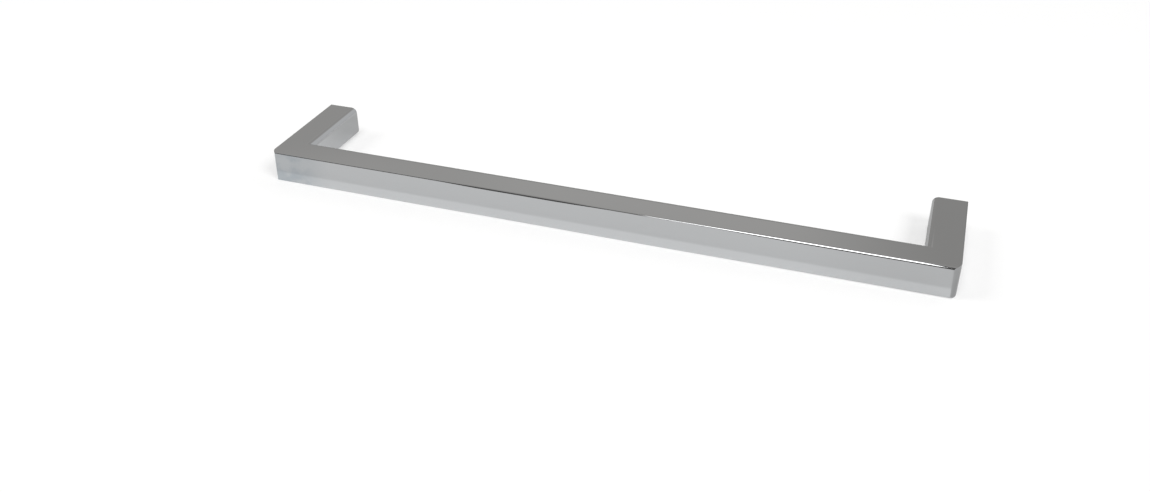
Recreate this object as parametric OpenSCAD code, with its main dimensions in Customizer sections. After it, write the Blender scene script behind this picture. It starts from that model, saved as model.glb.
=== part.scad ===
// Cabinet pull handle: a straight bar on two short legs, cast in one piece and plated.
// X runs along the bar, Y from the bar to the door, Z across the bar.
// The origin lies on the mounting face, halfway between the two fixing holes.
// Sizes in millimetres.

/* [Overall] */
// Distance between the centres of the two fixing holes
hole_spacing = 192; // [64:1:320]
// Distance from the door to the front of the bar
projection = 36.5; // [30:0.5:60]

/* [Section] */
// Height of the bar and the legs
section_h = 9.25; // [8:0.25:16]
// Thickness of the bar, from its front to its back
bar_t = 10; // [8:0.25:16]
// Width of each leg, from its outer to its inner side
leg_w = 9.5; // [8:0.25:16]

/* [Edges] */
// Radius of the long edges on the finger side of the bar and the legs
inner_edge_r = 2.25; // [0.5:0.25:3.5]
// Radius of the long edges on the outer side of the bar and the legs
outer_edge_r = 0.5; // [0.2:0.1:1]
// How far the flat on each outer corner reaches along the front of the bar
corner_cut_x = 1.8; // [0.6:0.1:3]
// How far the flat on each outer corner reaches along the side of the leg
corner_cut_y = 3.6; // [1.2:0.1:6]

/* [Fixing holes] */
// Diameter of the drilled hole, before the thread is cut
drill_d = 3.3; // [2.5:0.1:4.1]
// Depth of the drilled hole, without its conical end
drill_depth = 12; // [8:0.5:16]
// Angle at the tip of the drill
drill_tip_angle = 118; // [90:1:140]
// Diameter of the countersink at the mouth of the hole
countersink_d = 4.2; // [4.2:0.1:5.5]
// Full angle of the countersink
countersink_angle = 90; // [60:1:120]

/* [Finish] */
// Colour of the plating
plating = "silver"; // [silver, gainsboro, lightgray]

/* [Hidden] */
$fn = 96;
eps = 0.01;

overall_l = hole_spacing + leg_w;
drill_tip_depth = (drill_d / 2) / tan(drill_tip_angle / 2);
countersink_slope = tan(countersink_angle / 2);
countersink_depth = (countersink_d - drill_d) / 2 / countersink_slope;

// One quarter of a section's outline: a block with one rounded corner at its far upper end
module section_quarter(width, height, r) {
    difference() {
        square([width, height]);
        translate([width - r, height - r])
            difference() {
                square(r + eps);
                circle(r);
            }
    }
}

// Section of bar or leg: width along X, centred on Y, outer edges at X = 0
module section(width) {
    mid = width / 2;
    for (side = [0, 1])
        mirror([0, side]) {
            translate([mid, 0])
                section_quarter(width - mid, section_h / 2, inner_edge_r);
            translate([mid, 0])
                mirror([1, 0])
                    section_quarter(mid, section_h / 2, outer_edge_r);
        }
}

// Straight run of the bar's section, centred on X
module bar_run(length) {
    translate([-length / 2, -projection, 0])
        rotate([90, 0, 90])
            linear_extrude(height = length)
                section(bar_t);
}

// Straight run of the left leg's section, from the mounting face towards the bar
module leg_run(length) {
    translate([-overall_l / 2, 0, 0])
        rotate([90, 0, 0])
            linear_extrude(height = length)
                section(leg_w);
}

// Left outer corner: it keeps the edges of bar and leg where they run on, and ends in a flat
module corner() {
    intersection() {
        bar_run(overall_l);
        leg_run(projection);
        translate([-overall_l / 2, -projection, 0])
            linear_extrude(height = section_h + 2, center = true)
                polygon([
                    [0, corner_cut_y],
                    [corner_cut_x, 0],
                    [corner_cut_x, corner_cut_y]
                ]);
    }
}

// Blind hole for the fixing screw, drilled into the end of the left leg
module fixing_hole() {
    translate([-hole_spacing / 2, 0, 0])
        rotate([90, 0, 0])
            rotate_extrude()
                polygon([
                    [0, -eps],
                    [countersink_d / 2 + eps * countersink_slope, -eps],
                    [drill_d / 2, countersink_depth],
                    [drill_d / 2, drill_depth],
                    [0, drill_depth + drill_tip_depth]
                ]);
}

module handle() {
    color(plating)
        difference() {
            union() {
                bar_run(overall_l - 2 * corner_cut_x);
                for (side = [0, 1])
                    mirror([side, 0, 0]) {
                        leg_run(projection - corner_cut_y);
                        corner();
                    }
            }
            for (side = [0, 1])
                mirror([side, 0, 0])
                    fixing_hole();
        }
}

handle();
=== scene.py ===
"""Bright chrome cabinet handle: a square bar on two short legs, made in one piece.

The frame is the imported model's: X along the bar, Y from the bar to the door, Z across the bar.
Shapes are worked out in millimetres and put into meshes in metres.
"""

import math

import bmesh
import bpy
import numpy as np
from mathutils import Matrix, Vector


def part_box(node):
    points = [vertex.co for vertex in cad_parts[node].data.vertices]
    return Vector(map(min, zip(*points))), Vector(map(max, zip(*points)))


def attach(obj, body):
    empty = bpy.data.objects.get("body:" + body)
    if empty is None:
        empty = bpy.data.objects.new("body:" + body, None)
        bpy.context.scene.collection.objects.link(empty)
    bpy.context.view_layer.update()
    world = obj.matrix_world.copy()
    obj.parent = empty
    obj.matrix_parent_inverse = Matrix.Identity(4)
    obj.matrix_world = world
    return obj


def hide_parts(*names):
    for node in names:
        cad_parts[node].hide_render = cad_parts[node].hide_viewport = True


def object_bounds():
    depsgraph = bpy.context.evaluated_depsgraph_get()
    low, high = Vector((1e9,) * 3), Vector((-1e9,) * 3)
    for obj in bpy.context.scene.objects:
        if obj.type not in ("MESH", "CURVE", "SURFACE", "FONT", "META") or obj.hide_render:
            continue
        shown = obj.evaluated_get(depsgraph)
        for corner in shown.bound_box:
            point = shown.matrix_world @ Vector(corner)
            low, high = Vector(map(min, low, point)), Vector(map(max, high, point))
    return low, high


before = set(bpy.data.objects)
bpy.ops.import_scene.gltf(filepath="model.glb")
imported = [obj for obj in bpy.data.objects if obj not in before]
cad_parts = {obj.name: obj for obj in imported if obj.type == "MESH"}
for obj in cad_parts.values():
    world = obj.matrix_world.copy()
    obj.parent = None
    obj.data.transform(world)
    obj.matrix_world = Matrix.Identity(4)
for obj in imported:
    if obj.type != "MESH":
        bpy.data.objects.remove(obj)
cad_low, cad_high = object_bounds()

# Handle body: one zinc casting, ground flat on its sides and buffed before plating.
# Its edges are rounded on the finger side and only broken on the outer side, and each
# outer corner is ground off. The sizes are in millimetres.
MM = 0.001
node_low, node_high = (np.array(corner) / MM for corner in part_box("handle"))
overall_length, projection, section_height = node_high - node_low
outer_face = -overall_length / 2
front_face = -projection
bar_thickness = 10.0
leg_width = 9.5
inner_edge = 1.75
leg_edge = 0.25
corner_cut_x = 1.8
corner_cut_y = 3.6


def spaced(start, stop, steps):
    """Points from start to stop, both included, closer together near the two ends."""
    share = (1 - np.cos(np.pi * np.arange(steps + 1) / steps)) / 2
    return start + (stop - start) * share


def quarter_turn(steps):
    """Angles that cut a quarter circle into even steps, without its two ends."""
    return np.linspace(0, np.pi / 2, steps + 1)[1:-1]


def upper_part(reach, steps):
    """Points from the middle, or just above it, up to reach, out of a row spaced on both sides of it."""
    points = spaced(-reach, reach, steps)
    return points[points >= -1e-9]


def section_outline(width, seam, edge):
    """Closed outline of bar or leg as rows (across, height, and the outward normal's two parts).

    Across runs from 0 on the outer side to width on the finger side. Edge is the radius on the
    outer side, and one point of the upper flat lies at the seam. The upper half is three
    flats joined by two quarter circles, and the lower half is the same, mirrored.
    """
    half = section_height / 2
    turn = quarter_turn(20)
    big_turn = quarter_turn(18)
    side = upper_part(half - edge, 10)
    lands = np.concatenate([spaced(edge, seam, 5), spaced(seam, width - inner_edge, 7)[1:]])
    face = upper_part(half - inner_edge, 8)[::-1]
    pieces = [
        (0 * side, side, -1 + 0 * side, 0 * side),
        (edge * (1 - np.cos(turn)), half - edge * (1 - np.sin(turn)), -np.cos(turn), np.sin(turn)),
        (lands, half + 0 * lands, 0 * lands, 1 + 0 * lands),
        (width - inner_edge * (1 - np.sin(big_turn)), half - inner_edge * (1 - np.cos(big_turn)),
         np.sin(big_turn), np.cos(big_turn)),
        (width + 0 * face, face, 1 + 0 * face, 0 * face),
    ]
    upper = np.hstack([np.array(piece) for piece in pieces])
    lower = upper[:, 1:-1][:, ::-1] * np.array([[1], [-1], [1], [-1]])
    return np.hstack([upper, lower])


def ring(x, y, z):
    """One row of points round the part, from coordinates that may each be a number or a row."""
    return np.stack(np.broadcast_arrays(x, y, z), axis=-1)


leg_across, height, leg_normal, height_normal = section_outline(leg_width, corner_cut_x, leg_edge)

# Fixing hole in the end of each leg: drilled 3.3 mm, tapped for a 4 mm screw and countersunk.
# The thread is a groove that winds down the wall: its depth at a point depends on how far
# the point lies down the hole and round it.
drill_radius = 1.65
drill_depth = 12.0
drill_tip_angle = math.radians(118)
drill_tip = drill_radius / math.tan(drill_tip_angle / 2)
tip_radii = (0.0, 0.1, 0.8, 1.4)
mouth_radius = 2.1
sink_depth = mouth_radius - drill_radius
sink_shares = (0.8, 0.4, 0.05, 0.0)
thread_pitch = 0.7
thread_root = 2.0
thread_depth = 10.4
half_crest = 0.125
flank_slope = 3.2
rings_a_pitch = 12
hole_across = leg_width / 2
hole_angle = np.arctan2(height, leg_across - hole_across)


def hole_ring(radius, depth):
    """Circle round the hole's axis at this depth, its points in line with those of the section."""
    x = outer_face + hole_across + radius * np.cos(hole_angle)
    return ring(x, -depth, radius * np.sin(hole_angle))


def thread_ring(depth):
    """Ring of the tapped wall: the drilled radius, plus a trapezoid groove one pitch long.

    Phase is the place along one pitch, and the groove is 0 on the crest, rises evenly along
    the flank and is 1 at the root. It runs out over the last pitch.
    """
    phase = np.mod(depth / thread_pitch + hole_angle / (2 * np.pi), 1.0)
    groove = np.clip(flank_slope * (0.5 - np.abs(phase - 0.5) - half_crest), 0, 1)
    run_out = np.clip((thread_depth - depth) / thread_pitch, 0, 1)
    return hole_ring(drill_radius + (thread_root - drill_radius) * groove * run_out, depth)


hole_rings = [hole_ring(radius, drill_depth + drill_tip * (1 - radius / drill_radius))
              for radius in tip_radii]
hole_rings += [thread_ring(depth)
               for depth in np.arange(drill_depth, sink_depth, -thread_pitch / rings_a_pitch)]
hole_rings += [hole_ring(mouth_radius - sink_depth * share, sink_depth * share)
               for share in sink_shares]

# End of the leg: ground flat round the hole, with a fine rounded rim.
rim_edge = 0.12
end_rings = []
for share in (0.15, 0.4, 0.7, 0.93):
    circle = hole_ring(mouth_radius, 0)
    inset = ring(outer_face + leg_across - rim_edge * leg_normal, 0, height - rim_edge * height_normal)
    end_rings.append(circle + (inset - circle) * share)
for angle in np.linspace(0, np.pi / 2, 5):
    inset = rim_edge * (1 - math.sin(angle))
    depth = rim_edge * (1 - math.cos(angle))
    end_rings.append(ring(outer_face + leg_across - inset * leg_normal, -depth,
                          height - inset * height_normal))
leg_start = np.array(hole_rings + end_rings)

# Ground corners: from the leg's side each turns in a gentle arc and ends in a crisp upright
# edge with the bar's front. It cuts through the broken edges. The arc touches the leg's side,
# so its radius follows from the two cuts, and it has lost a fifth less below than above.
lower_cut_less = 0.2
corner_radius = (corner_cut_x ** 2 + corner_cut_y ** 2) / (2 * corner_cut_x)
cut_share = 1 - lower_cut_less * (0.5 - height / section_height)
corner_ring_count = 12
leg_steps = 26


def left_half(bar_edge):
    """Rings from the left hole to the bar's left end, where its outer edges have this radius.

    Each line of the leg ends either on the arc or, on the finger side of it, on the seam with
    the bar. On the arc a line goes from the angle at which it leaves the leg to that at which
    it reaches the bar, and lines of the flats keep their share of the way to the seam.
    """
    bar_across, bar_height = section_outline(bar_thickness, corner_cut_y, bar_edge)[:2]
    cut_x, cut_y, radius = (size * cut_share for size in (corner_cut_x, corner_cut_y, corner_radius))
    seam_x = np.maximum(leg_across, cut_x)
    seam_y = np.maximum(bar_across, cut_y)
    way_out = np.clip((cut_x - leg_across) / (cut_x - leg_edge), 0, 1)
    leave = np.arccos(1 - np.minimum(leg_across, leg_edge) / radius)
    arrive = np.arcsin((cut_y - np.minimum(bar_across, bar_edge)) / radius)
    corner_rings = []
    for share in np.linspace(0, 1, corner_ring_count):
        angle = leave + (arrive - leave) * share
        x = seam_x + (radius * (1 - np.cos(angle)) - seam_x) * way_out
        y = seam_y + (cut_y - radius * np.sin(angle) - seam_y) * way_out
        z = height + (bar_height - height) * share
        corner_rings.append(ring(outer_face + x, front_face + y, z))
    along_leg = corner_rings[0] - leg_start[-1]
    leg_rings = [leg_start[-1] + along_leg * share for share in spaced(0, 1, leg_steps)[1:-1]]
    return np.concatenate([leg_start, leg_rings, corner_rings])


# Bar: straight lines from the left corner to the right one. Its front edges are fine, but the
# buffing wheel has taken more off left of the middle, and most in the right third. The right
# half is built as a left one and mirrored, so the skin is one closed tube.
fine_edge = 0.2
more_left_of_middle = 0.28
more_at_right = 0.45


def smooth(value, start, stop):
    """0 up to start and 1 from stop on, joined by a cubic with level ends."""
    share = np.clip((value - start) / (stop - start), 0, 1)
    return share * share * (3 - 2 * share)


def worn_edge(along):
    """Radius of the bar's front edges at this X: the fine edge, plus what the wheel has taken off."""
    left_of_middle = more_left_of_middle * smooth(along, -48, -30) * (1 - smooth(along, -8, 8))
    return fine_edge + left_of_middle + more_at_right * smooth(along, 24, 64)


# Extra rings lie close to the corners, so that their shading doesn't reach along the bar.
near_ends = np.array([0.0015, 0.005, 0.015])
bar_steps = 56
left_rings = left_half(worn_edge(outer_face))
right_rings = (left_half(worn_edge(-outer_face)) * [-1, 1, 1])[::-1]
bar_rings = []
for share in [*near_ends, *np.linspace(0, 1, bar_steps + 1)[1:-1], *(1 - near_ends[::-1])]:
    edge_here = worn_edge(outer_face * (1 - 2 * share))
    across, level = section_outline(bar_thickness, corner_cut_y, edge_here)[:2]
    x = left_rings[-1, :, 0] + (right_rings[0, :, 0] - left_rings[-1, :, 0]) * share
    bar_rings.append(ring(x, front_face + across, level))
skin_rings = np.concatenate([left_rings, bar_rings, right_rings])


def closed_skin(name, rings):
    """Mesh object in metres from rings of points: neighbours joined by quads, equal points merged.

    Faces up to the countersink at either end take the second material, the rest the first.
    """
    rows, columns = rings.shape[:2]
    row, column = np.meshgrid(np.arange(rows - 1), np.arange(columns), indexing="ij")
    beside = (column + 1) % columns
    quads = np.stack([row * columns + column, row * columns + beside,
                      (row + 1) * columns + beside, (row + 1) * columns + column], axis=-1)
    mesh = bpy.data.meshes.new(name)
    mesh.from_pydata(rings.reshape(-1, 3) * MM, [], quads.reshape(-1, 4))
    in_hole = np.minimum(row, rows - 2 - row) < len(hole_rings) - len(sink_shares)
    mesh.polygons.foreach_set("material_index", in_hole.astype(np.int32).ravel())
    edit = bmesh.new()
    edit.from_mesh(mesh)
    bmesh.ops.remove_doubles(edit, verts=edit.verts, dist=1e-7)
    bmesh.ops.recalc_face_normals(edit, faces=edit.faces)
    edit.to_mesh(mesh)
    edit.free()
    mesh.shade_smooth()
    mesh.set_sharp_from_angle(angle=math.radians(35))
    made = bpy.data.objects.new(name, mesh)
    bpy.context.scene.collection.objects.link(made)
    return made


handle = closed_skin("handle_body", skin_rings)
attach(handle, "root")
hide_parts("handle")


def linear(hex_colour):
    """Linear colour with alpha from an sRGB hex value."""
    srgb = np.array([int(hex_colour[i:i + 2], 16) for i in (1, 3, 5)]) / 255
    return (*np.where(srgb <= 0.04045, srgb / 12.92, ((srgb + 0.055) / 1.055) ** 2.4), 1.0)


def add_node(tree, kind, inputs=(), **settings):
    """New shader node with its settings, its inputs given by name or in order.

    An input that is a socket is linked, and any other is set as the input's own value.
    """
    node = tree.nodes.new(kind)
    for name, value in settings.items():
        setattr(node, name, value)
    for key, value in inputs.items() if isinstance(inputs, dict) else enumerate(inputs):
        if isinstance(value, bpy.types.NodeSocket):
            tree.links.new(value, node.inputs[key])
        else:
            node.inputs[key].default_value = value
    return node


def soft_patch(tree, *ramps):
    """Soft-edged patch: the product of ramps, each given as (socket, start, stop, low, high).

    A ramp is low up to start and high from stop on, with a smooth step between them.
    """
    patch = None
    for ramp in ramps:
        step = add_node(tree, "ShaderNodeMapRange", ramp, interpolation_type="SMOOTHSTEP").outputs["Result"]
        if patch is None:
            patch = step
        else:
            patch = add_node(tree, "ShaderNodeMath", (patch, step), operation="MULTIPLY").outputs["Value"]
    return patch


def new_material(name):
    """Empty node material and its node tree."""
    material = bpy.data.materials.new(name)
    material.use_nodes = True
    material.node_tree.nodes.clear()
    return material, material.node_tree


# Bright chrome: a thin plated layer over buffed metal, a mirror of even, slightly cool grey.
# Buffing leaves long soft ripples, 4 thousandths of a millimetre high, and a faint haze. Near
# its left end the front is darker and bluish, in clouds of a few millimetres.
ripples_a_metre = 30.0
ripple_height = 0.004 * MM
haze_patches_a_metre = 260.0
clouds_a_metre = 240.0
cloud_reach = 12 * MM
dark_left_start = -86 * MM
dark_left_stop = -74 * MM
chrome, tree = new_material("bright_chrome_plating")
place = add_node(tree, "ShaderNodeTexCoord").outputs["Object"]
parts = add_node(tree, "ShaderNodeSeparateXYZ", (place,)).outputs
ripple = add_node(tree, "ShaderNodeTexNoise", {"Vector": place, "Scale": ripples_a_metre, "Detail": 1.0})
ripple_bump = add_node(tree, "ShaderNodeBump", {"Height": ripple.outputs["Fac"], "Strength": 1.0,
                                                "Distance": ripple_height})
haze = add_node(tree, "ShaderNodeTexNoise", {"Vector": place, "Scale": haze_patches_a_metre,
                                             "Detail": 5.0})
cloud_noise = add_node(tree, "ShaderNodeTexNoise", {"Vector": place, "Scale": clouds_a_metre,
                                                    "Detail": 4.0})
clouds = cloud_noise.outputs["Fac"]
ragged_x = add_node(tree, "ShaderNodeMath", (clouds, cloud_reach, parts["X"]), operation="MULTIPLY_ADD")
dark_left_patch = soft_patch(tree, (parts["Y"], (front_face + 0.1) * MM, (front_face + 0.3) * MM, 1.0, 0.0),
                   (ragged_x.outputs["Value"], dark_left_start, dark_left_stop, 1.0, 0.0),
                   (clouds, 0.35, 0.65, 0.35, 1.0))
plating = add_node(tree, "ShaderNodeMix", {"Factor": dark_left_patch, "A": linear("#BABBBC"), "B": linear("#A3A8AC")},
                   data_type="RGBA")
shader = add_node(tree, "ShaderNodeBsdfPrincipled", {
    "Base Color": plating.outputs["Result"],
    "Roughness": soft_patch(tree, (haze.outputs["Fac"], 0.3, 0.7, 0.028, 0.036)),
    "Normal": ripple_bump.outputs["Normal"],
    "Metallic": 1.0,
})
add_node(tree, "ShaderNodeOutputMaterial", {"Surface": shader.outputs["BSDF"]})
handle.data.materials.append(chrome)

# Cut zinc: plating hardly reaches into the tapped holes, so their walls keep the duller
# blue-grey of the casting, bright only where the tap has cut, in marks about a thread apart.
cuts_a_metre = 1500.0
zinc, tree = new_material("tapped_zinc_alloy")
place = add_node(tree, "ShaderNodeTexCoord").outputs["Object"]
cutting = add_node(tree, "ShaderNodeTexNoise", {"Vector": place, "Scale": cuts_a_metre, "Detail": 3.0})
cut_range = add_node(tree, "ShaderNodeMapRange", {"Value": cutting.outputs["Fac"], "To Min": 0.3,
                                                  "To Max": 0.55})
shader = add_node(tree, "ShaderNodeBsdfPrincipled", {
    "Base Color": linear("#9DA0A4"),
    "Roughness": cut_range.outputs["Result"],
    "Metallic": 1.0,
})
add_node(tree, "ShaderNodeOutputMaterial", {"Surface": shader.outputs["BSDF"]})
handle.data.materials.append(zinc)

# Floor: a plain pale sheet under the handle, which keeps its shadow. To the camera it glows a
# little, so that it shows white, and more where it is far off and the lamps light it less.
# Polished faces see it in its own pale grey.
floor_half = 4.0
floor_z = cad_low[2]
near_glow = 0.42
floor_mesh = bpy.data.meshes.new("floor")
floor_mesh.from_pydata([(x, y, floor_z) for x, y in
                        ((-floor_half, -floor_half), (floor_half, -floor_half),
                         (floor_half, floor_half), (-floor_half, floor_half))], [], [(0, 1, 2, 3)])
floor = bpy.data.objects.new("floor", floor_mesh)
bpy.context.scene.collection.objects.link(floor)
paper, tree = new_material("matt_white_sheet")
rays = add_node(tree, "ShaderNodeLightPath").outputs
place = add_node(tree, "ShaderNodeTexCoord").outputs["Object"]
parts = add_node(tree, "ShaderNodeSeparateXYZ", (place,)).outputs
away = add_node(tree, "ShaderNodeVectorMath", (place,), operation="LENGTH").outputs["Value"]
seen = add_node(tree, "ShaderNodeMath", (rays["Is Camera Ray"], rays["Is Transmission Ray"]),
                operation="MAXIMUM").outputs["Value"]
seen_white = add_node(tree, "ShaderNodeMath", (seen, soft_patch(tree, (away, 0.3, 1.3, near_glow, 1.0))),
                      operation="MULTIPLY").outputs["Value"]

# Painted light on the sheet, which only polished faces see and show in turn as a paler band:
# a painted pool of light before the bar, with a narrow brighter strip at its foot, and painted
# pools inside the left leg and behind it. The strip stands for light that the front face throws
# on the sheet; no light bounces off a mirror in the render, so the sheet glows there instead.
x, y = parts["X"], parts["Y"]
front_y = front_face * MM
painted_pool_in_front = soft_patch(tree, (y, front_y, front_y + 0.018, 1.0, 0.0), (x, 0.05, 0.095, 0.355, 0.28))
painted_foot_strip = soft_patch(tree, (y, front_y - 0.0056, front_y - 0.0042, 0.0, 0.18),
                        (y, front_y + 0.001, front_y + 0.002, 1.0, 0.0))
painted_pool_inside_left = soft_patch(tree, (x, -0.085, -0.03, 0.33, 0.0), (y, -0.014, 0.01, 1.0, 0.3))
painted_pool_behind_left = soft_patch(tree, (y, 0.0, 0.02, 0.0, 0.19), (x, 0.02, 0.07, 1.0, 0.0))
# Painted shade: past the right end all this painted light drops to a tenth.
painted_shade_past_right_end = soft_patch(tree, (x, 0.099, 0.101, 1.0, 0.1))
painted_pools_at_left = add_node(tree, "ShaderNodeMath", (painted_pool_inside_left, painted_pool_behind_left), operation="MAXIMUM")
painted_pools = add_node(tree, "ShaderNodeMath", (painted_pool_in_front, painted_pools_at_left.outputs["Value"]), operation="MAXIMUM")
painted_light = add_node(tree, "ShaderNodeMath", (painted_pools.outputs["Value"], painted_foot_strip), operation="ADD")
painted_light = add_node(tree, "ShaderNodeMath", (painted_light.outputs["Value"], painted_shade_past_right_end), operation="MULTIPLY")
painted_light = add_node(tree, "ShaderNodeMath", (painted_light.outputs["Value"], rays["Is Glossy Ray"]), operation="MULTIPLY")

matt = add_node(tree, "ShaderNodeBsdfDiffuse", {"Color": linear("#CBCBCB")})
white_glow = add_node(tree, "ShaderNodeEmission", {"Strength": seen_white})
painted_pool_glow = add_node(tree, "ShaderNodeEmission", {"Strength": painted_light.outputs["Value"],
                                                  "Color": (0.985, 1.0, 1.01, 1.0)})
glows = add_node(tree, "ShaderNodeAddShader", (white_glow.outputs[0], painted_pool_glow.outputs[0]))
sheet = add_node(tree, "ShaderNodeAddShader", (matt.outputs[0], glows.outputs[0]))
add_node(tree, "ShaderNodeOutputMaterial", {"Surface": sheet.outputs[0]})
floor.data.materials.append(paper)


def between(tree, low, high, share):
    """Level on the way from low to high: low + share * (high - low)."""
    apart = add_node(tree, "ShaderNodeMath", (high, low), operation="SUBTRACT").outputs["Value"]
    return add_node(tree, "ShaderNodeMath", (share, apart, low), operation="MULTIPLY_ADD").outputs["Value"]


# Room, as the polished faces show it: behind the handle a warm grey wall, lighter on the left
# than on the right, with a pale slanting top, and a light, cooler part high up and far on the
# right. Overhead, at the sides and in front it is dim. The camera sees it white.
upper_wall = 0.49
light_right = 0.77
world = bpy.data.worlds.new("studio")
world.use_nodes = True
bpy.context.scene.world = world
tree = world.node_tree
tree.nodes.clear()
direction = add_node(tree, "ShaderNodeTexCoord").outputs["Generated"]
heading = add_node(tree, "ShaderNodeSeparateXYZ", (direction,)).outputs
x, y, z = heading["X"], heading["Y"], heading["Z"]
high_left = soft_patch(tree, (z, 0.2, 0.4, 0.0, 0.06), (x, -0.5, -0.38, 1.0, 0.0))
lower_wall = soft_patch(tree, (x, 0.08, 0.25, 0.43, 0.3))
slant = add_node(tree, "ShaderNodeMath", (x, -0.12, z), operation="MULTIPLY_ADD").outputs["Value"]
pale_top = soft_patch(tree, (x, -0.12, 0.05, 0.16, 0.0), (x, -0.55, -0.3, 0.2, 1.0),
                      (slant, 0.492, 0.515, 0.0, 1.0))
wall = add_node(tree, "ShaderNodeMath", (high_left, lower_wall), operation="ADD").outputs["Value"]
wall = add_node(tree, "ShaderNodeMath", (pale_top, wall), operation="ADD").outputs["Value"]
wall = between(tree, wall, upper_wall, soft_patch(tree, (slant, 0.53, 0.55, 0.0, 1.0)))
right_slant = add_node(tree, "ShaderNodeMath", (x, 0.5, z), operation="MULTIPLY_ADD").outputs["Value"]
high_right = soft_patch(tree, (right_slant, 0.54, 0.6, 0.0, 1.0), (x, -0.02, 0.25, 0.0, 1.0))
far_right = soft_patch(tree, (x, 0.5, 0.57, 0.0, 1.0))
right = add_node(tree, "ShaderNodeMath", (far_right, high_right), operation="MAXIMUM").outputs["Value"]
wall = between(tree, wall, light_right, right)
dim = soft_patch(tree, (y, -0.45, -0.1, 0.12, 0.2))
room = between(tree, dim, wall, soft_patch(tree, (y, 0.1, 0.35, 0.0, 1.0)))
to_camera = add_node(tree, "ShaderNodeLightPath").outputs["Is Camera Ray"]
level = add_node(tree, "ShaderNodeMath", (room, to_camera), operation="MAXIMUM").outputs["Value"]
tint = add_node(tree, "ShaderNodeMix", {"Factor": right, "A": linear("#FFFDFA"), "B": linear("#FDFEFF")},
                data_type="RGBA")
sky = add_node(tree, "ShaderNodeBackground", {"Strength": level, "Color": tint.outputs["Result"]})
add_node(tree, "ShaderNodeOutputWorld", {"Surface": sky.outputs[0]})

# Lamps: two square soft boxes that light the floor from both sides, and a long one high over
# the front. The bar's front edge shows that one as a thin bright line, which starts and stops
# with the box's two sides.
lamp_distance = 3000


def soft_light(name, towards, size, level):
    """Rectangular soft box in this direction from the handle, turned to it, its size in millimetres.

    Its width lies square to Y. Level is the share of a white floor's light that it gives, so
    the power follows from the distance and from its height over the floor.
    """
    towards = np.array(towards, float) / np.linalg.norm(towards)
    lamp = bpy.data.lights.new(name, "AREA")
    lamp.shape = "RECTANGLE"
    lamp.size, lamp.size_y = size[0] * MM, size[1] * MM
    lamp.energy = level * math.pi ** 2 * (lamp_distance * MM) ** 2 / towards[2]
    made = bpy.data.objects.new(name, lamp)
    bpy.context.scene.collection.objects.link(made)
    side = np.cross([0, 1, 0], towards) / math.hypot(towards[0], towards[2])
    columns = [(*axis, 0) for axis in (side, np.cross(towards, side), towards)]
    columns.append((*(towards * lamp_distance * MM), 1))
    made.matrix_world = Matrix(columns).transposed()


soft_light("key_soft_box", towards=(0.6, -0.35, 0.72), size=(1100, 1100), level=0.3)
soft_light("fill_soft_box", towards=(-0.72, -0.2, 0.66), size=(1100, 1100), level=0.155)
soft_light("overhead_soft_box", towards=(-0.0855, -0.32, 1.0), size=(869, 2200), level=0.29)

# Camera: above the front and to the right of the bar's middle, as in the photograph.
# Its place and aim are in millimetres; the focal length is for a picture 1150 pixels wide.
camera_place = np.array([85.9, -284.7, 156.1])
camera_aim = np.array([-4.3, -31.5, -12.5])
camera_roll = math.radians(0.44)
camera_data = bpy.data.cameras.new("camera")
camera_data.sensor_width = 36.0
camera_data.lens = 34.16
camera = bpy.data.objects.new("camera", camera_data)
bpy.context.scene.collection.objects.link(camera)
bpy.context.scene.camera = camera
look = Vector(camera_aim - camera_place).normalized()
turned = look.to_track_quat("-Z", "Y").to_matrix().to_4x4() @ Matrix.Rotation(-camera_roll, 4, "Z")
camera.matrix_world = Matrix.Translation(Vector(camera_place * MM)) @ turned

bpy.context.scene.view_settings.view_transform = "Standard"
